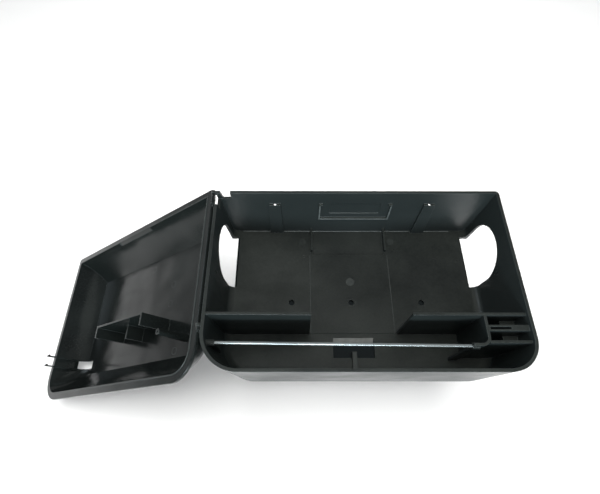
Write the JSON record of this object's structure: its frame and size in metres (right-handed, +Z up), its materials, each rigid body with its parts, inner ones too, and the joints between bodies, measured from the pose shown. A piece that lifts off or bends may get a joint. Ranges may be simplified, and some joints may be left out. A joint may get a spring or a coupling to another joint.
{
  "type": "injection moulded plastic housing",
  "caption": "Black moulded box with arched entries in both side walls, inner baffles, a steel rod and a hinged domed lid with snap arms, hanging open.",
  "frame": {"origin": "centre anchor hole, on the underside of the floor", "axes": "+X along the long side from the hinge to the latch end, +Y from the near compartment to the far wall, +Z up out of the open box"},
  "size_m": [0.5388, 0.1982, 0.2041],
  "materials": {
    "housing_plastic": "semi-gloss black moulding, fine even texture",
    "lid_plastic": "glossier black moulding, polished inside",
    "rod_steel": "bright drawn wire"
  },
  "bodies": {
    "housing": {"base": "housing_plastic", "bait_rod": "rod_steel"},
    "cover": {"lid": "lid_plastic"}
  },
  "joints": [
    {"name": "lid_hinge", "type": "hinge", "parent": "housing", "child": "cover", "pos_m": [-0.1487, 0, 0.077], "axis": [0, 1, 0], "range_deg": [0, 218.3]}
  ]
}
